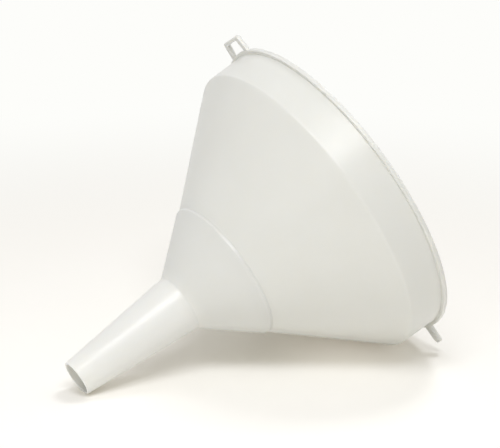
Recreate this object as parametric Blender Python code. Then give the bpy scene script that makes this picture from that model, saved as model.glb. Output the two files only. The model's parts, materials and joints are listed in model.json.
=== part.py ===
"""Wide kitchen funnel with a lift-out strainer, lying on its side on the floor z = 0.

Units are metres. The funnel is built in its own frame, with +Z along its axis from the spout
tip to the mouth, under the empty "funnel_rest", which lays it down until the edge of the spout
tip and the shoulder under the collar both touch the floor. The origin is the bottom centre of
the box round the whole object.
"""

import math

import bmesh
import bpy
from mathutils import Matrix, Vector

# --- Funnel, moulded in one piece: outer sizes, with heights along the axis from the tip ---
MOUTH_DIAMETER = 0.250
TOTAL_LENGTH = 0.2456
WALL = 0.0018
TIP_DIAMETER = 0.0276
TIP_ROUND = 0.0005
SPOUT_LENGTH = 0.0950
SPOUT_TOP_DIAMETER = 0.0446
SEAT_HEIGHT = 0.1356
SEAT_DIAMETER = 0.1106
SEAT_LENGTH = 0.0022
SHOULDER_HEIGHT = 0.2143
SHOULDER_ROUND = 0.0032
COLLAR_TAPER = 0.0007
FLANGE_WIDTH = 0.0030
FLANGE_THICKNESS = 0.0036
FLANGE_ROUND = 0.0009

# --- Ears on the flange: a hanging loop, and a thumb tab straight across from it ---
EAR_ROLL = math.radians(26.25)
EAR_THICKNESS = 0.0030
EAR_ROOT_DEPTH = 0.0020
LOOP_REACH = 0.0120
LOOP_ROOT_WIDTH = 0.0390
LOOP_TOP_WIDTH = 0.0345
LOOP_LEG_WIDTH = 0.0058
LOOP_BAR_WIDTH = 0.0030
LOOP_CORNER = 0.0035
LOOP_HOLE_CORNER = 0.0016
LOOP_HOLE_MARGIN = 0.0002
TAB_REACH = 0.0142
TAB_ROOT_WIDTH = 0.0100
TAB_TIP_WIDTH = 0.0092
TAB_CORNER = 0.0036

# --- Strainer: a ring with arms and a hub under a round net, dropped into the bowl's seat ---
SEAT_CLEARANCE = 0.0004
SEAT_GAP = 0.0003
RING_WALL = 0.0030
RING_BELOW_SEAT = 0.0018
RING_HEIGHT = 0.0062
ARM_COUNT = 6
ARM_WIDTH = 0.0024
ARM_HEIGHT = 0.0020
HUB_DIAMETER = 0.0110
JOINT_STEP = 0.0001
GRIP_WIDTH = 0.0150
GRIP_HEIGHT = 0.0100
GRIP_THICKNESS = 0.0022
GRIP_CORNER = 0.0030
NET_THICKNESS = 0.0008
NET_CLEARANCE = 0.0003
NET_GROOVE_DEPTH = 0.0016
NET_BORDER = 0.0028
NET_PITCH = 0.0062
NET_STRAND_WIDTH = 0.0011
NET_STRAND_HEIGHT = 0.0006

# --- Fineness of the round surfaces ---
TURN_STEPS = 96
RING_STEPS = 64
HUB_STEPS = 24
CORNER_STEPS = 3
RIM_ARC_STEPS = 8
MERGE_DISTANCE = 1e-6
SHARP_ANGLE = math.radians(35)

WHITE_POLYETHYLENE = (0.80, 0.80, 0.76, 1.0)
WHITE_POLYPROPYLENE = (0.83, 0.83, 0.80, 1.0)
NATURAL_NYLON = (0.72, 0.73, 0.72, 1.0)


def clear_scene():
    for obj in list(bpy.data.objects):
        bpy.data.objects.remove(obj, do_unlink=True)


def material(name, colour, roughness):
    made = bpy.data.materials.new(name)
    made.use_nodes = True
    shader = made.node_tree.nodes["Principled BSDF"]
    shader.inputs["Base Color"].default_value = colour
    shader.inputs["Roughness"].default_value = roughness
    shader.inputs["Metallic"].default_value = 0.0
    return made


def empty(name, parent=None):
    made = bpy.data.objects.new(name, None)
    bpy.context.scene.collection.objects.link(made)
    made.parent = parent
    return made


def new_object(name, mesh_maker, skin, parent):
    mesh = bpy.data.meshes.new(name)
    mesh_maker(mesh)
    mesh.materials.append(skin)
    mesh.shade_smooth()
    mesh.set_sharp_from_angle(angle=SHARP_ANGLE)
    made = bpy.data.objects.new(name, mesh)
    bpy.context.scene.collection.objects.link(made)
    made.parent = parent
    return made


def combine(target, other, operation):
    """A live Boolean with the helper object other, which itself stays out of the model."""
    other.hide_render = True
    other.display_type = "WIRE"
    boolean = target.modifiers.new(other.name, "BOOLEAN")
    boolean.operation = operation
    boolean.solver = "EXACT"
    boolean.object = other


# --- Outlines ---


def rounded(corners, radii, steps):
    """The closed outline through corners, each one turned into an arc of its own radius."""
    outline = []
    for i, corner in enumerate(corners):
        here = Vector(corner)
        back = (Vector(corners[i - 1]) - here).normalized()
        ahead = (Vector(corners[(i + 1) % len(corners)]) - here).normalized()
        if radii[i] <= 0.0:
            outline.append(here)
            continue
        half = back.angle(ahead) / 2
        run = radii[i] / math.tan(half)
        centre = here + (back + ahead).normalized() * radii[i] / math.sin(half)
        start = here + back * run - centre
        turns_left = back.x * ahead.y < back.y * ahead.x
        sweep = (math.pi - 2 * half) * (1 if turns_left else -1)
        for k in range(steps + 1):
            outline.append(centre + Matrix.Rotation(sweep * k / steps, 2) @ start)
    return outline


def moved_right(points, distance):
    """The open line through points, with each side moved to its right by distance."""
    sides = []
    for a, b in zip(points, points[1:]):
        along = (b - a).normalized()
        sides.append((a + Vector((along.y, -along.x)) * distance, along))
    moved = [sides[0][0]]
    for (p, u), (q, v) in zip(sides, sides[1:]):
        cross = u.x * v.y - u.y * v.x
        moved.append(p + u * ((q - p).x * v.y - (q - p).y * v.x) / cross)
    last, along = sides[-1]
    moved.append(last + along * (points[-1] - points[-2]).length)
    return moved


def circle(radius, steps):
    angles = [math.tau * k / steps for k in range(steps)]
    return [(radius * math.cos(a), radius * math.sin(a)) for a in angles]


def turned(outline, steps):
    """A maker of the ring that outline (radius, height) sweeps round the Z axis."""

    def make(mesh):
        bm = bmesh.new()
        verts = [bm.verts.new((p[0], 0.0, p[1])) for p in outline]
        edges = [bm.edges.new((verts[i - 1], verts[i])) for i in range(len(verts))]
        bmesh.ops.spin(
            bm, geom=verts + edges, cent=(0, 0, 0), axis=(0, 0, 1), angle=math.tau,
            steps=steps, use_merge=True, use_duplicate=False,
        )
        bmesh.ops.remove_doubles(bm, verts=bm.verts[:], dist=MERGE_DISTANCE)
        bmesh.ops.recalc_face_normals(bm, faces=bm.faces[:])
        bm.to_mesh(mesh)
        bm.free()

    return make


def raise_faces(bm, bottom, height):
    """Turns the flat faces of bm into plates of this height that stand on bottom."""
    grown = bmesh.ops.extrude_face_region(bm, geom=bm.faces[:])
    risen = [item for item in grown["geom"] if isinstance(item, bmesh.types.BMVert)]
    bmesh.ops.translate(bm, verts=risen, vec=(0, 0, height))
    bmesh.ops.translate(bm, verts=bm.verts[:], vec=(0, 0, bottom))
    bmesh.ops.recalc_face_normals(bm, faces=bm.faces[:])


def plate(outline, bottom, height):
    """A maker of the flat plate that outline (x, y) bounds."""

    def make(mesh):
        bm = bmesh.new()
        bm.faces.new([bm.verts.new((p[0], p[1], 0.0)) for p in outline])
        raise_faces(bm, bottom, height)
        bm.to_mesh(mesh)
        bm.free()

    return make


# --- Funnel ---


def outer_line():
    """Outer side of the wall with sharp corners, mouth to tip, as (radius, height)."""
    collar_radius = MOUTH_DIAMETER / 2 - FLANGE_WIDTH
    return [
        Vector((collar_radius, TOTAL_LENGTH - FLANGE_THICKNESS)),
        Vector((collar_radius - COLLAR_TAPER, SHOULDER_HEIGHT)),
        Vector((SEAT_DIAMETER / 2, SEAT_HEIGHT + SEAT_LENGTH)),
        Vector((SEAT_DIAMETER / 2, SEAT_HEIGHT)),
        Vector((SPOUT_TOP_DIAMETER / 2, SPOUT_LENGTH)),
        Vector((TIP_DIAMETER / 2, 0.0)),
    ]


def inner_line():
    """Inner side of the wall: the outer side moved in by the wall, open at both ends."""
    line = moved_right(outer_line(), WALL)
    line[0].y = TOTAL_LENGTH
    line[-1].y = 0.0
    return line


def funnel_corners():
    """Corners of the wall's section and each one's radius: flange, inside, tip, outside."""
    outer, inner = outer_line(), inner_line()
    rim = MOUTH_DIAMETER / 2
    inner_round = max(SHOULDER_ROUND - WALL, 0.0)
    return [
        ((rim, TOTAL_LENGTH - FLANGE_THICKNESS), FLANGE_ROUND),
        ((rim, TOTAL_LENGTH), FLANGE_ROUND),
        (inner[0], 0.0),
        (inner[1], inner_round),
        *((corner, 0.0) for corner in inner[2:-1]),
        (inner[-1], TIP_ROUND),
        (outer[-1], TIP_ROUND),
        *((corner, 0.0) for corner in reversed(outer[2:-1])),
        (outer[1], SHOULDER_ROUND),
        (outer[0], 0.0),
    ]


def funnel_outline():
    corners, radii = zip(*funnel_corners())
    return rounded(corners, radii, CORNER_STEPS)


def ear_outline(reach, root_width, end_width, corner):
    """A tapered tongue along +X from inside the flange, with a rounded free end."""
    root = MOUTH_DIAMETER / 2 - EAR_ROOT_DEPTH
    end = MOUTH_DIAMETER / 2 + reach
    corners = [
        (root, -root_width / 2), (end, -end_width / 2), (end, end_width / 2), (root, root_width / 2)
    ]
    return rounded(corners, (0.0, corner, corner, 0.0), CORNER_STEPS + 1)


def loop_outline():
    return ear_outline(LOOP_REACH, LOOP_ROOT_WIDTH, LOOP_TOP_WIDTH, LOOP_CORNER)


def tab_outline():
    return ear_outline(TAB_REACH, TAB_ROOT_WIDTH, TAB_TIP_WIDTH, TAB_CORNER)


def loop_hole_outline():
    """The hole runs up to the rim's own curve, so that the flange closes the loop."""
    end = MOUTH_DIAMETER / 2 + LOOP_REACH - LOOP_BAR_WIDTH
    half_root = LOOP_ROOT_WIDTH / 2 - LOOP_LEG_WIDTH
    half_end = LOOP_TOP_WIDTH / 2 - LOOP_LEG_WIDTH
    rim = MOUTH_DIAMETER / 2 + LOOP_HOLE_MARGIN
    swing = math.asin(half_root / rim)
    angles = [swing * (1 - 2 * k / RIM_ARC_STEPS) for k in range(RIM_ARC_STEPS + 1)]
    arc = [(rim * math.cos(a), rim * math.sin(a)) for a in angles]
    corners = [arc[-1], (end, -half_end), (end, half_end), arc[0]]
    radii = (0.0, LOOP_HOLE_CORNER, LOOP_HOLE_CORNER, 0.0)
    return [*rounded(corners, radii, CORNER_STEPS), *arc[1:-1]]


def across(outline):
    """The outline turned half round the axis."""
    return [(-p[0], -p[1]) for p in outline]


def build_funnel(rest):
    skin = material("white_polyethylene", WHITE_POLYETHYLENE, 0.38)
    body = new_object("funnel_body", turned(funnel_outline(), TURN_STEPS), skin, rest)
    bottom = TOTAL_LENGTH - (FLANGE_THICKNESS + EAR_THICKNESS) / 2
    ears = plate(across(loop_outline()), bottom, EAR_THICKNESS)
    hole = plate(across(loop_hole_outline()), bottom - EAR_THICKNESS, 3 * EAR_THICKNESS)
    tab = plate(tab_outline(), bottom, EAR_THICKNESS)
    loop = new_object("hanging_loop_shape", ears, skin, rest)
    combine(loop, new_object("loop_hole_cutter", hole, skin, rest), "DIFFERENCE")
    combine(body, loop, "UNION")
    combine(body, new_object("thumb_tab_shape", tab, skin, rest), "UNION")


# --- Strainer ---


class Seat:
    """Heights and radii of the strainer's ring, worked out from the bowl that it sits in."""

    def __init__(self):
        inner = inner_line()
        self.corner = inner[3]
        self.slope = (inner[3].x - inner[4].x) / (inner[3].y - inner[4].y)
        self.lift = SEAT_GAP * math.hypot(1.0, self.slope) / self.slope
        self.outer = self.corner.x - SEAT_CLEARANCE
        self.inner = self.outer - RING_WALL
        self.bottom = self.corner.y - RING_BELOW_SEAT
        self.top = self.bottom + RING_HEIGHT
        self.groove = self.inner + NET_GROOVE_DEPTH
        self.groove_bottom = self.bottom + ARM_HEIGHT
        self.groove_top = self.groove_bottom + NET_THICKNESS + 2 * NET_CLEARANCE

    def radius_over_cone(self, height):
        """Radius that keeps the seat's gap to the lower cone at this height."""
        return self.corner.x + (height - self.lift - self.corner.y) * self.slope

    def height_over_cone(self, radius):
        return self.corner.y + (radius - self.corner.x) / self.slope + self.lift


def ring_outline(seat):
    """Section of the ring: its lower outer edge follows the cone that carries it."""
    return [
        (seat.outer, seat.top),
        (seat.outer, seat.height_over_cone(seat.outer)),
        (seat.radius_over_cone(seat.bottom), seat.bottom),
        (seat.inner, seat.bottom),
        (seat.inner, seat.groove_bottom),
        (seat.groove, seat.groove_bottom),
        (seat.groove, seat.groove_top),
        (seat.inner, seat.groove_top),
        (seat.inner, seat.top),
    ]


def grip_outline(root, end):
    half = GRIP_WIDTH / 2
    corners = [(-half, root), (half, root), (half, end), (-half, end)]
    return rounded(corners, (0.0, 0.0, GRIP_CORNER, GRIP_CORNER), CORNER_STEPS + 1)


def build_strainer_frame(seat, travel):
    skin = material("white_polypropylene", WHITE_POLYPROPYLENE, 0.42)
    frame = new_object("strainer_frame", turned(ring_outline(seat), RING_STEPS), skin, travel)
    reach = (seat.inner + seat.groove) / 2
    half = ARM_WIDTH / 2
    bar = [(-reach, -half), (reach, -half), (reach, half), (-reach, half)]
    arm_maker = plate(bar, seat.bottom + JOINT_STEP, ARM_HEIGHT - 2 * JOINT_STEP)
    for k in range(ARM_COUNT // 2):
        arms = new_object(f"arm_pair_shape_{k + 1}", arm_maker, skin, travel)
        arms.rotation_euler.z = math.tau * k / ARM_COUNT
        combine(frame, arms, "UNION")
    hub = plate(circle(HUB_DIAMETER / 2, HUB_STEPS), seat.bottom, ARM_HEIGHT)
    combine(frame, new_object("hub_shape", hub, skin, travel), "UNION")

    upright = grip_outline(seat.top - RING_WALL / 2, seat.top + GRIP_HEIGHT)
    grip = new_object(
        "grip_shape", plate(upright, -GRIP_THICKNESS / 2, GRIP_THICKNESS), skin, travel
    )
    grip.rotation_euler = (math.pi / 2, 0.0, math.pi / 2)
    grip.location.x = -(seat.outer - RING_WALL / 2)
    combine(frame, grip, "UNION")


def lattice(radius, bottom):
    """A maker of the net's crossing strands, a square of them that covers this radius."""
    half_rows = math.ceil(radius / NET_PITCH)
    beyond = radius + NET_PITCH / math.sqrt(2)

    def make(mesh):
        bm = bmesh.new()
        bmesh.ops.create_grid(
            bm, x_segments=2 * half_rows, y_segments=2 * half_rows, size=half_rows * NET_PITCH
        )
        far = [f for f in bm.faces if f.calc_center_median().length > beyond]
        bmesh.ops.delete(bm, geom=far, context="FACES")
        inset = bmesh.ops.inset_individual(
            bm, faces=bm.faces[:], thickness=NET_STRAND_WIDTH / 2, use_even_offset=True
        )
        strands = set(inset["faces"])
        gaps = [f for f in bm.faces if f not in strands]
        bmesh.ops.delete(bm, geom=gaps, context="FACES")
        raise_faces(bm, bottom, NET_STRAND_HEIGHT)
        bm.to_mesh(mesh)
        bm.free()

    return make


def build_strainer_net(seat, travel):
    """The net: crossing strands, cut round and closed by a border band held in the groove."""
    skin = material("nylon_net", NATURAL_NYLON, 0.5)
    radius = seat.groove - NET_CLEARANCE
    inside = radius - NET_BORDER
    bottom = seat.groove_bottom + NET_CLEARANCE
    top = bottom + NET_THICKNESS
    band = [(radius, bottom), (radius, top), (inside, top), (inside, bottom)]
    net = new_object("strainer_net", turned(band, RING_STEPS), skin, travel)

    trim_radius = (radius + inside) / 2
    strand_bottom = bottom + (NET_THICKNESS - NET_STRAND_HEIGHT) / 2
    strands = new_object("strands_shape", lattice(trim_radius, strand_bottom), skin, travel)
    trim = plate(circle(trim_radius, RING_STEPS), bottom, NET_THICKNESS)
    combine(strands, new_object("trim_shape", trim, skin, travel), "INTERSECT")
    combine(net, strands, "UNION")


# --- Pose ---


def lay_down(rest):
    """Lays the funnel on the floor z = 0, its tip to -X, with its box centred on the origin."""
    outer, inner = outer_line(), inner_line()
    tip = rounded([outer[-2], outer[-1], inner[-1]], (0.0, TIP_ROUND, 0.0), CORNER_STEPS)
    shoulder = rounded(outer[:3], (0.0, SHOULDER_ROUND, 0.0), CORNER_STEPS)
    tilt = max(min(math.atan2(p.x - q.x, p.y - q.y) for q in tip) for p in shoulder)
    lowest = min(q.y * math.sin(tilt) - q.x * math.cos(tilt) for q in tip)
    ear_face = TOTAL_LENGTH - (FLANGE_THICKNESS - EAR_THICKNESS) / 2
    tab_reach = max(p.x * math.cos(EAR_ROLL) - p.y * math.sin(EAR_ROLL) for p in tab_outline())
    near_x = min(q.y * math.cos(tilt) - q.x * math.sin(tilt) for q in tip)
    far_x = max(
        TOTAL_LENGTH * math.cos(tilt) + MOUTH_DIAMETER / 2 * math.sin(tilt),
        ear_face * math.cos(tilt) + tab_reach * math.sin(tilt),
    )
    rest.rotation_mode = "ZYX"
    rest.rotation_euler = (0.0, math.pi / 2 - tilt, -EAR_ROLL)
    rest.location = (-(near_x + far_x) / 2, 0.0, -lowest)


def build():
    clear_scene()
    rest = empty("funnel_rest")
    lay_down(rest)
    build_funnel(rest)
    travel = empty("strainer_travel", rest)
    seat = Seat()
    build_strainer_frame(seat, travel)
    build_strainer_net(seat, travel)


build()
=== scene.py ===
"""Looks for the kitchen funnel: satin white polyethylene with a woven nylon strainer inside.

Lengths are in millimetres, and become metres where a mesh is placed. The funnel and the
strainer are modelled upright, with +Z along the funnel's axis from the spout tip to the mouth,
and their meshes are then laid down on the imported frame.
"""

import json
import math

import bmesh
import bpy
from mathutils import Matrix, Vector


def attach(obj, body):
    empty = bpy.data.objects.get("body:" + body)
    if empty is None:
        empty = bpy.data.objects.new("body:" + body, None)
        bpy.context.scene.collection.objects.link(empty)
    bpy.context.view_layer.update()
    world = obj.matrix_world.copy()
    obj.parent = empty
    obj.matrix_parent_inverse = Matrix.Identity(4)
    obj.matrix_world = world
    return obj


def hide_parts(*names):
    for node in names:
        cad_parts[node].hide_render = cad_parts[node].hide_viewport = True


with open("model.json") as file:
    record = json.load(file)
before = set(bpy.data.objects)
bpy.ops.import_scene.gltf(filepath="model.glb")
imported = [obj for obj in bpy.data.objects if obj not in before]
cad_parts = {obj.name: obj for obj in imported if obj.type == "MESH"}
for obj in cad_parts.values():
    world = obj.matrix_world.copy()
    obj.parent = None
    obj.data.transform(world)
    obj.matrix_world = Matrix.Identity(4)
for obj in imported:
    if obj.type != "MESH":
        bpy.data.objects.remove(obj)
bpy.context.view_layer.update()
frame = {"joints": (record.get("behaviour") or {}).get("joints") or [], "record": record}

MM = 0.001

# --- Funnel: outer sizes, with heights along the axis from the spout tip ---
MOUTH_DIAMETER = 250.0
TOTAL_LENGTH = 245.6
WALL = 1.8
TIP_DIAMETER = 27.6
SPOUT_LENGTH = 95.0
SPOUT_TOP_DIAMETER = 44.6
SEAT_HEIGHT = 135.6
SEAT_DIAMETER = 110.6
SEAT_LENGTH = 2.2
SHOULDER_HEIGHT = 214.3
COLLAR_TAPER = 0.7
FLANGE_WIDTH = 3.0
FLANGE_THICKNESS = 3.6

# --- Rounds of the mould ---
FLANGE_ROUND = 0.9
TIP_ROUND = 0.5
SHOULDER_ROUND = 3.2
SEAT_ROUND = 0.5
NECK_ROUND = 2.5
COLLAR_FILLET = 0.6

# --- Ears on the flange ---
EAR_ROLL = math.radians(26.25)
EAR_THICKNESS = 3.0
EAR_ROOT_DEPTH = 2.0
EAR_EDGE_ROUND = 0.5
LOOP_REACH = 12.0
LOOP_ROOT_WIDTH = 39.0
LOOP_TOP_WIDTH = 34.5
LOOP_LEG_WIDTH = 5.8
LOOP_BAR_WIDTH = 3.0
LOOP_CORNER = 3.5
LOOP_HOLE_CORNER = 1.6
TAB_REACH = 14.2
TAB_ROOT_WIDTH = 10.0
TAB_TIP_WIDTH = 9.2
TAB_CORNER = 3.6

# --- Strainer: each thread rises and dips by most of its radius, and ends in the border ---
SEAT_CLEARANCE = 0.4
SEAT_GAP = 0.3
RING_WALL = 3.0
RING_BELOW_SEAT = 1.8
RING_HEIGHT = 6.2
RING_EDGE_ROUND = 0.5
ARM_COUNT = 6
ARM_WIDTH = 2.4
ARM_HEIGHT = 2.0
ARM_INSET = 0.1
ARM_EDGE_ROUND = 0.4
HUB_DIAMETER = 11.0
GRIP_WIDTH = 15.0
GRIP_HEIGHT = 10.0
GRIP_THICKNESS = 2.2
GRIP_CORNER = 3.0
GRIP_EDGE_ROUND = 0.6
NET_THICKNESS = 0.8
NET_CLEARANCE = 0.3
NET_GROOVE_DEPTH = 1.6
NET_EDGE_ROUND = 0.2
NET_BORDER = 2.8
THREAD_HOLD = NET_BORDER / 3
THREAD_PITCH = 1.6
THREAD_DIAMETER = 0.36
THREAD_RISE = 0.8 * THREAD_DIAMETER / 2

# --- Fineness ---
TURN_STEPS = 240
RING_STEPS = 160
HUB_STEPS = 48
ROUND_STEPS = 6
EDGE_STEPS = 3
NET_EDGE_STEPS = 2
SHARP_ANGLE = math.radians(40)
MERGE_DISTANCE = 1e-4

# --- Sockets of a Mix node set to colour, which share their names with its other forms ---
MIX_FACTOR, MIX_LOW, MIX_HIGH, MIX_RESULT = 0, 6, 7, 2

# --- Moulded plastics: tones, shine, and sizes of their patterns in millimetres ---
FUNNEL_TONES = ("E6E6E2", "E2E2DD")
FUNNEL_LIGHT_DEPTH = 2.6
FRAME_TONES = ("EFEFEB", "EAEAE5")
FRAME_LIGHT_DEPTH = 2.5
# The spout's lighter colour is painted light, for the light that its walls pass on to each other
SPOUT_PAINTED_LIGHT = "F2F1EB"
SPOUT_FADE = 8.0
PLASTIC_IOR = 1.51
PLASTIC_ROUGHNESS = 0.31
ROUGHNESS_SPREAD = 0.04
MILKINESS = 1.0
MILKY_TINT = (1.0, 0.97, 0.91)
FLOW_SIZE = 40.0
SHINE_PATCH = 6.0
GRAIN_SIZE = 1.2
GRAIN_DEPTH = 0.05
GRAIN_STRENGTH = 0.06

# --- Nylon thread ---
NYLON_TONE = "DDDFDE"
NYLON_IOR = 1.53
NYLON_SHINE = (0.22, 0.34)
NYLON_MILKINESS = 0.3
NYLON_PATCH = 12.0

# --- Camera and stage, in metres ---
CAMERA_AZIMUTH = math.radians(-30.0)
CAMERA_ELEVATION = math.radians(17.4)
CAMERA_DISTANCE = 1.8
CAMERA_TARGET = Vector((0.0090, -0.0011, 0.1066))
CAMERA_LENS = 176.0
SENSOR_WIDTH = 36.0
CAMERA_REACH = 100.0
WHITE = "FFFFFF"
FAR_WHITE = "FDFDFA"
FLOOR_SIZE = 16.0
FLOOR_BOUNCE = "FCFAF5"
# Painted light on the floor: a warm glow that lightens the funnel's shadow, strongest round the
# contact place
FLOOR_GLOW = "5E553E"
CONTACT_GLOW = "958D7E"
CONTACT_PLACE = (0.084, -0.016, 0.0)
CONTACT_REACH = 0.075
SHADOW_REACH = 0.30
WHITE_REACH = 0.75
SKY_STRENGTH = 0.4
LIGHT_DISTANCE = 1.8

# Soft boxes round the camera's target: azimuth, elevation, side in metres, power in watts
SOFT_BOXES = {
    "key_soft_box": (-17, 50, 0.4, 5.0),
    "left_soft_box": (-44, 55, 0.6, 9.0),
    "back_soft_box": (108, 68, 0.5, 6.8),
    "fill_soft_box": (-60, 12, 0.8, 2.9),
}


# --- Outlines ---


def rounded(corners, radii, steps=ROUND_STEPS):
    """The closed outline through corners, each one turned into an arc of its own radius."""
    outline = []
    for i, corner in enumerate(corners):
        here = Vector(corner)
        back = (Vector(corners[i - 1]) - here).normalized()
        ahead = (Vector(corners[(i + 1) % len(corners)]) - here).normalized()
        if radii[i] <= 0.0:
            outline.append(here)
            continue
        half = back.angle(ahead) / 2
        run = radii[i] / math.tan(half)
        centre = here + (back + ahead).normalized() * radii[i] / math.sin(half)
        start = here + back * run - centre
        turns_left = back.x * ahead.y < back.y * ahead.x
        sweep = (math.pi - 2 * half) * (1 if turns_left else -1)
        for k in range(steps + 1):
            outline.append(centre + Matrix.Rotation(sweep * k / steps, 2) @ start)
    return outline


def moved_right(points, distance):
    """The open line through points, with each side moved to its right by distance."""
    sides = []
    for a, b in zip(points, points[1:]):
        along = (b - a).normalized()
        sides.append((a + Vector((along.y, -along.x)) * distance, along))
    moved = [sides[0][0]]
    for (p, u), (q, v) in zip(sides, sides[1:]):
        cross = u.x * v.y - u.y * v.x
        moved.append(p + u * ((q - p).x * v.y - (q - p).y * v.x) / cross)
    last, along = sides[-1]
    moved.append(last + along * (points[-1] - points[-2]).length)
    return moved


def outer_line():
    """Outer side of the wall with sharp corners, mouth to tip, as (radius, height)."""
    collar_radius = MOUTH_DIAMETER / 2 - FLANGE_WIDTH
    return [
        Vector((collar_radius, TOTAL_LENGTH - FLANGE_THICKNESS)),
        Vector((collar_radius - COLLAR_TAPER, SHOULDER_HEIGHT)),
        Vector((SEAT_DIAMETER / 2, SEAT_HEIGHT + SEAT_LENGTH)),
        Vector((SEAT_DIAMETER / 2, SEAT_HEIGHT)),
        Vector((SPOUT_TOP_DIAMETER / 2, SPOUT_LENGTH)),
        Vector((TIP_DIAMETER / 2, 0.0)),
    ]


def inner_line():
    """Inner side of the wall: the outer side moved in, and cut off level at mouth and tip."""
    line = moved_right(outer_line(), WALL)
    line[0].y = TOTAL_LENGTH
    line[-1].y = 0.0
    return line


def funnel_outline():
    """The funnel's whole section with its rounds: flange, inner side, tip and outer side."""
    outer, inner = outer_line(), inner_line()
    rim = MOUTH_DIAMETER / 2
    section = [
        ((rim, TOTAL_LENGTH - FLANGE_THICKNESS), FLANGE_ROUND),
        ((rim, TOTAL_LENGTH), FLANGE_ROUND),
        (inner[0], FLANGE_ROUND),
        (inner[1], SHOULDER_ROUND - WALL),
        (inner[2], SEAT_ROUND),
        (inner[3], SEAT_ROUND),
        (inner[4], NECK_ROUND + WALL),
        (inner[5], TIP_ROUND),
        (outer[5], TIP_ROUND),
        (outer[4], NECK_ROUND),
        (outer[3], SEAT_ROUND),
        (outer[2], SEAT_ROUND),
        (outer[1], SHOULDER_ROUND),
        (outer[0], COLLAR_FILLET),
    ]
    corners, radii = zip(*section)
    return rounded(corners, radii)


def ear_outline(reach, root_width, end_width, corner):
    """A loop or a tab seen along the axis, on +X, with its root inside the flange."""
    root = MOUTH_DIAMETER / 2 - EAR_ROOT_DEPTH
    end = MOUTH_DIAMETER / 2 + reach
    half_root, half_end = root_width / 2, end_width / 2
    corners = [(root, -half_root), (end, -half_end), (end, half_end), (root, half_root)]
    return rounded(corners, (0.0, corner, corner, 0.0))


def loop_hole_outline():
    """The loop's hole, which reaches inside the flange, so that the rim closes it."""
    root = MOUTH_DIAMETER / 2 - EAR_ROOT_DEPTH / 2
    end = MOUTH_DIAMETER / 2 + LOOP_REACH - LOOP_BAR_WIDTH
    half_root = LOOP_ROOT_WIDTH / 2 - LOOP_LEG_WIDTH
    half_end = LOOP_TOP_WIDTH / 2 - LOOP_LEG_WIDTH
    corners = [(root, -half_root), (end, -half_end), (end, half_end), (root, half_root)]
    return rounded(corners, (0.0, LOOP_HOLE_CORNER, LOOP_HOLE_CORNER, 0.0))


# --- Meshes ---


def place_on_frame():
    """From the upright model in millimetres to the frame, by its slide axis and mouth face."""
    axis = Vector(frame["joints"][0]["axis"]).normalized()
    mouth = next(m for m in frame["record"]["mounts"] if m["name"] == "mouth_face")
    mouth_centre = Vector((mouth["pos_m"][0], 0.0, mouth["pos_m"][2]))
    tip_centre = mouth_centre - axis * TOTAL_LENGTH * MM
    down = Vector((axis.z, 0.0, -axis.x))
    turn = Matrix((down, Vector((0, 1, 0)), axis)).transposed().to_4x4()
    roll = Matrix.Rotation(-EAR_ROLL, 4, "Z")
    return Matrix.Translation(tip_centre) @ turn @ roll @ Matrix.Scale(MM, 4)


TO_FRAME = place_on_frame()


def spun(outline, steps):
    """The outline of (radius, height) turned once round the axis."""
    bm = bmesh.new()
    verts = [bm.verts.new((p[0], 0.0, p[1])) for p in outline]
    edges = [bm.edges.new((verts[i - 1], verts[i])) for i in range(len(verts))]
    bmesh.ops.spin(
        bm, geom=verts + edges, cent=(0, 0, 0), axis=(0, 0, 1), angle=math.tau,
        steps=steps, use_merge=True, use_duplicate=False,
    )
    bmesh.ops.remove_doubles(bm, verts=bm.verts[:], dist=MERGE_DISTANCE)
    bmesh.ops.recalc_face_normals(bm, faces=bm.faces[:])
    return bm


def plate(outline, bottom, height, edge_round=0.0):
    """The outline as a flat plate on bottom, with its level edges rounded."""
    bm = bmesh.new()
    face = bm.faces.new([bm.verts.new((p[0], p[1], bottom)) for p in outline])
    grown = bmesh.ops.extrude_face_region(bm, geom=[face])
    risen = [item for item in grown["geom"] if isinstance(item, bmesh.types.BMVert)]
    bmesh.ops.translate(bm, verts=risen, vec=(0, 0, height))
    bmesh.ops.recalc_face_normals(bm, faces=bm.faces[:])
    if edge_round > 0.0:
        level = [e for e in bm.edges if abs(e.verts[0].co.z - e.verts[1].co.z) < MERGE_DISTANCE]
        bmesh.ops.bevel(
            bm, geom=level, offset=edge_round, offset_type="OFFSET", segments=EDGE_STEPS,
            profile=0.5, affect="EDGES", material=-1, clamp_overlap=True,
        )
    return bm


def upright_object(name, bm):
    """A linked object with the bmesh in it, still upright and in millimetres."""
    mesh = bpy.data.meshes.new(name)
    bm.to_mesh(mesh)
    bm.free()
    made = bpy.data.objects.new(name, mesh)
    bpy.context.scene.collection.objects.link(made)
    return made


def combine(target, other, operation):
    """Applies a Boolean with other to target, and removes other."""
    boolean = target.modifiers.new(other.name, "BOOLEAN")
    boolean.operation = operation
    boolean.solver = "EXACT"
    boolean.object = other
    settle(target)
    bpy.data.objects.remove(other, do_unlink=True)


def settle(piece):
    """Puts the piece's modifiers into its mesh."""
    graph = bpy.context.evaluated_depsgraph_get()
    mesh = bpy.data.meshes.new_from_object(piece.evaluated_get(graph))
    piece.modifiers.clear()
    piece.data = mesh


def finish_piece(piece, body, skin, node):
    """Lays the mesh on the frame, gives it material and body, and hides the node it replaces."""
    piece.data.transform(TO_FRAME)
    piece.data.materials.clear()
    piece.data.materials.append(skin)
    piece.data.shade_smooth()
    piece.data.set_sharp_from_angle(angle=SHARP_ANGLE)
    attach(piece, body)
    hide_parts(node)


# --- Materials ---


def linear(hex_colour):
    """An sRGB hex colour as linear RGBA."""
    parts = [int(hex_colour[i : i + 2], 16) / 255 for i in (0, 2, 4)]
    return (*(c / 12.92 if c <= 0.04045 else ((c + 0.055) / 1.055) ** 2.4 for c in parts), 1.0)


def new_material(name):
    made = bpy.data.materials.new(name)
    made.use_nodes = True
    return made, made.node_tree.nodes["Principled BSDF"]


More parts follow.
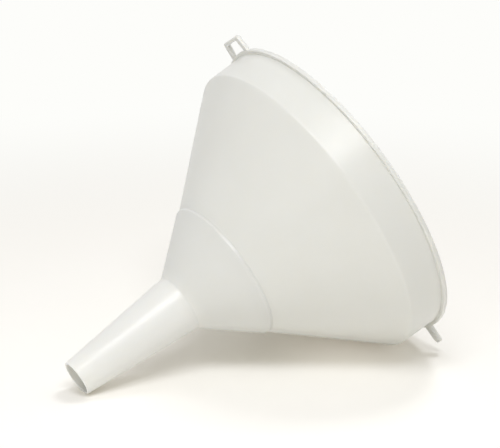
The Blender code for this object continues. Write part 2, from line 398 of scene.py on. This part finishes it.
def add_node(tree, kind, settings=None, links=None):
    """Adds a node, sets its properties and sockets by name, and links sockets into it."""
    node = tree.nodes.new(kind)
    for key, value in (settings or {}).items():
        if hasattr(node, key):
            setattr(node, key, value)
        else:
            node.inputs[key].default_value = value
    for key, source in (links or {}).items():
        tree.links.new(source, node.inputs[key])
    return node


def axis_coordinates(tree):
    """Object coordinates turned upright: millimetres, with Z along the funnel's axis."""
    place = TO_FRAME.inverted()
    coordinates = add_node(tree, "ShaderNodeTexCoord")
    return add_node(
        tree, "ShaderNodeMapping",
        {
            "Location": place.to_translation(),
            "Rotation": place.to_euler(),
            "Scale": place.to_scale(),
        },
        {"Vector": coordinates.outputs["Object"]},
    ).outputs["Vector"]


def mixed_colour(tree, factor, low, high):
    """A colour that runs from low to high as factor goes from 0 to 1."""
    ramp = add_node(tree, "ShaderNodeValToRGB", links={"Fac": factor})
    ramp.color_ramp.elements[0].color = low
    ramp.color_ramp.elements[1].color = high
    return ramp.outputs["Color"]


def moulded_plastic(name, tones, light_depth):
    """Injection-moulded polyolefin: milky, so its edges soften, with a satin shine.

    A cloudy drift of tone some 40 mm across is the flow of the melt, and its shine varies over
    6 mm patches. A 1.2 mm grain, drawn coarser than the mould's own polish so that it shows,
    breaks up the highlights.
    """
    made, shader = new_material(name)
    tree = made.node_tree
    upright = axis_coordinates(tree)
    flow = add_node(
        tree, "ShaderNodeTexNoise", {"Scale": 1 / FLOW_SIZE, "Detail": 3.0, "Roughness": 0.5},
        {"Vector": upright},
    )
    light_tone, dark_tone = (linear(tone) for tone in tones)
    tone = mixed_colour(tree, flow.outputs["Fac"], dark_tone, light_tone)
    tree.links.new(tone, shader.inputs["Base Color"])
    polish = add_node(
        tree, "ShaderNodeTexNoise", {"Scale": 1 / SHINE_PATCH, "Detail": 4.0, "Roughness": 0.6},
        {"Vector": upright},
    )
    shine = add_node(
        tree, "ShaderNodeMapRange",
        {
            "To Min": PLASTIC_ROUGHNESS - ROUGHNESS_SPREAD,
            "To Max": PLASTIC_ROUGHNESS + ROUGHNESS_SPREAD,
        },
        {"Value": polish.outputs["Fac"]},
    )
    tree.links.new(shine.outputs["Result"], shader.inputs["Roughness"])
    grain = add_node(
        tree, "ShaderNodeTexNoise", {"Scale": 1 / GRAIN_SIZE, "Detail": 2.0}, {"Vector": upright}
    )
    bump = add_node(
        tree, "ShaderNodeBump", {"Strength": GRAIN_STRENGTH, "Distance": GRAIN_DEPTH * MM},
        {"Height": grain.outputs["Fac"]},
    )
    tree.links.new(bump.outputs["Normal"], shader.inputs["Normal"])
    shader.inputs["IOR"].default_value = PLASTIC_IOR
    shader.inputs["Subsurface Weight"].default_value = MILKINESS
    shader.inputs["Subsurface Radius"].default_value = MILKY_TINT
    shader.inputs["Subsurface Scale"].default_value = light_depth * MM
    return made


def paint_spout_light(skin):
    """Painted light: the spout is coloured lighter than the bowl, for light its walls pass on."""
    tree = skin.node_tree
    colour = tree.nodes["Principled BSDF"].inputs["Base Color"]
    tone = colour.links[0].from_socket
    height = add_node(tree, "ShaderNodeSeparateXYZ", links={"Vector": axis_coordinates(tree)})
    bowl = add_node(
        tree, "ShaderNodeMapRange",
        {
            "interpolation_type": "SMOOTHSTEP",
            "From Min": SPOUT_LENGTH - SPOUT_FADE, "From Max": SPOUT_LENGTH + SPOUT_FADE,
        },
        {"Value": height.outputs["Z"]},
    )
    mixed = add_node(
        tree, "ShaderNodeMix", {"data_type": "RGBA", "blend_type": "MIX"},
        {MIX_FACTOR: bowl.outputs["Result"], MIX_HIGH: tone},
    )
    mixed.inputs[MIX_LOW].default_value = linear(SPOUT_PAINTED_LIGHT)
    tree.links.new(mixed.outputs[MIX_RESULT], colour)


def nylon_monofilament():
    """Drawn nylon thread: clear to milky, smooth, with a bright line along each thread."""
    made, shader = new_material("nylon_monofilament")
    tree = made.node_tree
    upright = axis_coordinates(tree)
    drift = add_node(
        tree, "ShaderNodeTexNoise", {"Scale": 1 / NYLON_PATCH, "Detail": 2.0}, {"Vector": upright}
    )
    smooth, dull = NYLON_SHINE
    shine = add_node(
        tree, "ShaderNodeMapRange", {"To Min": smooth, "To Max": dull},
        {"Value": drift.outputs["Fac"]},
    )
    tree.links.new(shine.outputs["Result"], shader.inputs["Roughness"])
    shader.inputs["Base Color"].default_value = linear(NYLON_TONE)
    shader.inputs["IOR"].default_value = NYLON_IOR
    shader.inputs["Subsurface Weight"].default_value = NYLON_MILKINESS
    shader.inputs["Subsurface Radius"].default_value = (1.0, 1.0, 1.0)
    shader.inputs["Subsurface Scale"].default_value = THREAD_DIAMETER * MM
    return made


# --- Pieces ---


def make_funnel():
    """One moulding: the turned shell, with the loop and the tab joined to its flange."""
    body = upright_object("funnel_moulding", spun(funnel_outline(), TURN_STEPS))
    bottom = TOTAL_LENGTH - (FLANGE_THICKNESS + EAR_THICKNESS) / 2
    loop_shape = ear_outline(LOOP_REACH, LOOP_ROOT_WIDTH, LOOP_TOP_WIDTH, LOOP_CORNER)
    tab_shape = ear_outline(TAB_REACH, TAB_ROOT_WIDTH, TAB_TIP_WIDTH, TAB_CORNER)
    loop = upright_object("loop", plate(loop_shape, bottom, EAR_THICKNESS, EAR_EDGE_ROUND))
    hole = plate(loop_hole_outline(), bottom - EAR_THICKNESS, 3 * EAR_THICKNESS)
    combine(loop, upright_object("loop_hole", hole), "DIFFERENCE")
    loop.data.transform(Matrix.Rotation(math.pi, 4, "Z"))
    tab = upright_object("tab", plate(tab_shape, bottom, EAR_THICKNESS, EAR_EDGE_ROUND))
    combine(body, loop, "UNION")
    combine(body, tab, "UNION")
    skin = moulded_plastic("moulded_polyethylene", FUNNEL_TONES, FUNNEL_LIGHT_DEPTH)
    paint_spout_light(skin)
    finish_piece(body, "funnel", skin, "funnel_body")


class Seat:
    """Heights and radii of the strainer's ring, worked out from the bowl that it sits in."""

    def __init__(self):
        inner = inner_line()
        self.corner = inner[3]
        self.slope = (inner[3].x - inner[4].x) / (inner[3].y - inner[4].y)
        self.lift = SEAT_GAP * math.hypot(1.0, self.slope) / self.slope
        self.outer = self.corner.x - SEAT_CLEARANCE
        self.inner = self.outer - RING_WALL
        self.bottom = self.corner.y - RING_BELOW_SEAT
        self.top = self.bottom + RING_HEIGHT
        self.groove = self.inner + NET_GROOVE_DEPTH
        self.groove_bottom = self.bottom + ARM_HEIGHT
        self.groove_top = self.groove_bottom + NET_THICKNESS + 2 * NET_CLEARANCE


def ring_outline(seat):
    """The ring's section: its lower outer edge follows the cone, and its groove takes the net."""
    seat_edge = seat.corner.y + (seat.outer - seat.corner.x) / seat.slope + seat.lift
    cone_edge = seat.corner.x + (seat.bottom - seat.lift - seat.corner.y) * seat.slope
    section = [
        ((seat.outer, seat.top), RING_EDGE_ROUND),
        ((seat.outer, seat_edge), 0.0),
        ((cone_edge, seat.bottom), 0.0),
        ((seat.inner, seat.bottom), RING_EDGE_ROUND),
        ((seat.inner, seat.groove_bottom), 0.0),
        ((seat.groove, seat.groove_bottom), 0.0),
        ((seat.groove, seat.groove_top), 0.0),
        ((seat.inner, seat.groove_top), 0.0),
        ((seat.inner, seat.top), RING_EDGE_ROUND),
    ]
    corners, radii = zip(*section)
    return rounded(corners, radii, EDGE_STEPS)


def make_strainer_frame(seat):
    """Ring, hub and grip, with bars across the ring that are two arms each."""
    ring = upright_object("strainer_ring", spun(ring_outline(seat), RING_STEPS))
    reach = (seat.inner + seat.groove) / 2
    half = ARM_WIDTH / 2
    bar = [(-reach, -half), (reach, -half), (reach, half), (-reach, half)]
    arm_bottom, arm_height = seat.bottom + ARM_INSET, ARM_HEIGHT - 2 * ARM_INSET
    for k in range(ARM_COUNT // 2):
        arms = upright_object("arms", plate(bar, arm_bottom, arm_height, ARM_EDGE_ROUND))
        arms.data.transform(Matrix.Rotation(math.tau * k / ARM_COUNT, 4, "Z"))
        combine(ring, arms, "UNION")
    hub_bm = bmesh.new()
    bmesh.ops.create_cone(
        hub_bm, cap_ends=True, segments=HUB_STEPS, radius1=HUB_DIAMETER / 2,
        radius2=HUB_DIAMETER / 2, depth=ARM_HEIGHT,
    )
    bmesh.ops.translate(hub_bm, verts=hub_bm.verts[:], vec=(0, 0, seat.bottom + ARM_HEIGHT / 2))
    combine(ring, upright_object("hub", hub_bm), "UNION")
    half = GRIP_WIDTH / 2
    root, end = seat.top - RING_WALL / 2, seat.top + GRIP_HEIGHT
    upright = rounded(
        [(-half, root), (half, root), (half, end), (-half, end)],
        (0.0, 0.0, GRIP_CORNER, GRIP_CORNER),
    )
    grip = upright_object(
        "grip", plate(upright, -GRIP_THICKNESS / 2, GRIP_THICKNESS, GRIP_EDGE_ROUND)
    )
    stand = Matrix.Rotation(math.pi / 2, 4, "Z") @ Matrix.Rotation(math.pi / 2, 4, "X")
    grip.data.transform(Matrix.Translation((-(seat.outer - RING_WALL / 2), 0, 0)) @ stand)
    combine(ring, grip, "UNION")
    skin = moulded_plastic("moulded_polypropylene", FRAME_TONES, FRAME_LIGHT_DEPTH)
    finish_piece(ring, "strainer", skin, "strainer_frame")


def make_strainer_net(seat):
    """Plain weave: each thread passes over and under the threads that cross it.

    The weave is drawn coarser than a real strainer's net, so that it shows.
    """
    radius = seat.groove - NET_CLEARANCE
    inside = radius - NET_BORDER
    bottom = seat.groove_bottom + NET_CLEARANCE
    middle = bottom + NET_THICKNESS / 2
    weave = bpy.data.curves.new("weave", "CURVE")
    weave.dimensions = "3D"
    weave.bevel_depth = THREAD_DIAMETER / 2
    weave.bevel_resolution = 0
    weave.use_fill_caps = True
    hold = inside + THREAD_HOLD
    count = int(hold / THREAD_PITCH)
    for across in range(2):
        for i in range(-count, count + 1):
            offset = i * THREAD_PITCH
            half_length = math.sqrt(hold**2 - offset**2)
            crossings = int(half_length / THREAD_PITCH)
            rows = range(-crossings, crossings + 1)
            stops = [-half_length, *(row * THREAD_PITCH for row in rows), half_length]
            thread = weave.splines.new("POLY")
            thread.points.add(len(stops) - 1)
            for point, stop in zip(thread.points, stops):
                row = round(stop / THREAD_PITCH)
                over = 1 if (row + i + across) % 2 else -1
                rise = middle + over * THREAD_RISE
                place = (stop, offset, rise) if across == 0 else (offset, stop, rise)
                point.co = (*place, 1.0)
    threads = bpy.data.objects.new("threads", weave)
    bpy.context.scene.collection.objects.link(threads)
    graph = bpy.context.evaluated_depsgraph_get()
    mesh = bpy.data.meshes.new_from_object(threads.evaluated_get(graph))
    bpy.data.objects.remove(threads, do_unlink=True)

    top = bottom + NET_THICKNESS
    corners = [(radius, bottom), (radius, top), (inside, top), (inside, bottom)]
    radii = [NET_EDGE_ROUND] * len(corners)
    band = spun(rounded(corners, radii, NET_EDGE_STEPS), RING_STEPS)
    band.from_mesh(mesh)
    net = upright_object("woven_net", band)
    finish_piece(net, "strainer", nylon_monofilament(), "strainer_net")


# --- Stage ---


def direction(azimuth, elevation):
    """Unit vector towards a light or a camera; azimuth 0 is -Y, and it grows towards +X."""
    level = math.cos(elevation)
    return Vector((math.sin(azimuth) * level, -math.cos(azimuth) * level, math.sin(elevation)))


def shown_rays(tree):
    """1 for the rays that show the background: to the camera, in a shine and through a wall."""
    path = add_node(tree, "ShaderNodeLightPath")
    shown = path.outputs["Is Camera Ray"]
    for kind in ("Is Glossy Ray", "Is Transmission Ray"):
        shown = add_node(
            tree, "ShaderNodeMath", {"operation": "MAXIMUM"}, {0: shown, 1: path.outputs[kind]}
        ).outputs["Value"]
    return shown


def white_world(name, light_strength):
    """A world that is white where the background shows, and dimmer as a light."""
    world = bpy.data.worlds.new(name)
    world.use_nodes = True
    tree = world.node_tree
    background = tree.nodes["Background"]
    background.inputs["Color"].default_value = linear(WHITE)
    strength = add_node(
        tree, "ShaderNodeMapRange", {"To Min": light_strength, "To Max": 1.0},
        {"Value": shown_rays(tree)},
    )
    tree.links.new(strength.outputs["Result"], background.inputs["Strength"])
    bpy.context.scene.world = world


def make_floor():
    """A matt sweep that takes the funnel's shadow, and is plain white further out.

    The paint is white as it is shown, and a little warmer as it passes light on. The glow is
    painted light: it stands for the warm light that comes through the plastic into its own
    shadow, and it is strongest at the shoulder that lies on the floor.
    """
    bm = bmesh.new()
    bmesh.ops.create_grid(bm, x_segments=1, y_segments=1, size=FLOOR_SIZE / 2)
    floor = upright_object("floor", bm)
    made, shader = new_material("matt_white_sweep")
    tree = made.node_tree
    shown = shown_rays(tree)
    paint = mixed_colour(tree, shown, linear(FLOOR_BOUNCE), linear(WHITE))
    tree.links.new(paint, shader.inputs["Base Color"])
    tree.links.new(shown, shader.inputs["Emission Strength"])
    shader.inputs["Roughness"].default_value = 1.0
    shader.inputs["Specular IOR Level"].default_value = 0.0
    # Painted light: the warm glow, strongest round the contact place
    place = add_node(tree, "ShaderNodeTexCoord").outputs["Object"]
    gap = add_node(tree, "ShaderNodeVectorMath", {"operation": "DISTANCE"}, {0: place})
    gap.inputs[1].default_value = CONTACT_PLACE
    fade = add_node(
        tree, "ShaderNodeMapRange",
        {"interpolation_type": "SMOOTHSTEP", "From Max": CONTACT_REACH},
        {"Value": gap.outputs["Value"]},
    )
    glow = mixed_colour(tree, fade.outputs["Result"], linear(CONTACT_GLOW), linear(FLOOR_GLOW))
    tree.links.new(glow, shader.inputs["Emission Color"])
    distance = add_node(tree, "ShaderNodeVectorMath", {"operation": "LENGTH"}, {"Vector": place})
    far = add_node(
        tree, "ShaderNodeMapRange",
        {"interpolation_type": "SMOOTHSTEP", "From Min": SHADOW_REACH, "From Max": WHITE_REACH},
        {"Value": distance.outputs["Value"]},
    )
    share = add_node(
        tree, "ShaderNodeMath", {"operation": "MULTIPLY"}, {0: far.outputs["Result"], 1: shown}
    )
    white = add_node(tree, "ShaderNodeEmission", {"Color": linear(FAR_WHITE)})
    mixed = add_node(
        tree, "ShaderNodeMixShader",
        links={
            "Fac": share.outputs["Value"],
            1: shader.outputs["BSDF"],
            2: white.outputs["Emission"],
        },
    )
    tree.links.new(mixed.outputs["Shader"], tree.nodes["Material Output"].inputs["Surface"])
    floor.data.materials.append(made)


def add_soft_box(name, azimuth, elevation, side, power):
    """A square soft box that faces the object; azimuth 0 stands in front, on -Y."""
    data = bpy.data.lights.new(name, "AREA")
    data.shape = "SQUARE"
    data.size = side
    data.energy = power
    lamp = bpy.data.objects.new(name, data)
    bpy.context.scene.collection.objects.link(lamp)
    towards = direction(math.radians(azimuth), math.radians(elevation))
    lamp.location = CAMERA_TARGET + towards * LIGHT_DISTANCE
    lamp.rotation_mode = "QUATERNION"
    lamp.rotation_quaternion = (-towards).to_track_quat("-Z", "Y")
    lamp.visible_camera = False


def make_camera():
    data = bpy.data.cameras.new("camera")
    data.sensor_width = SENSOR_WIDTH
    data.lens = CAMERA_LENS
    data.clip_end = CAMERA_REACH
    camera = bpy.data.objects.new("camera", data)
    bpy.context.scene.collection.objects.link(camera)
    back = direction(CAMERA_AZIMUTH, CAMERA_ELEVATION)
    camera.location = CAMERA_TARGET + back * CAMERA_DISTANCE
    camera.rotation_mode = "QUATERNION"
    camera.rotation_quaternion = (-back).to_track_quat("-Z", "Y")
    bpy.context.scene.camera = camera


seat = Seat()
make_funnel()
make_strainer_frame(seat)
make_strainer_net(seat)
make_floor()
white_world("studio", SKY_STRENGTH)
for name, setting in SOFT_BOXES.items():
    add_soft_box(name, *setting)
make_camera()
bpy.context.scene.view_settings.view_transform = "Standard"
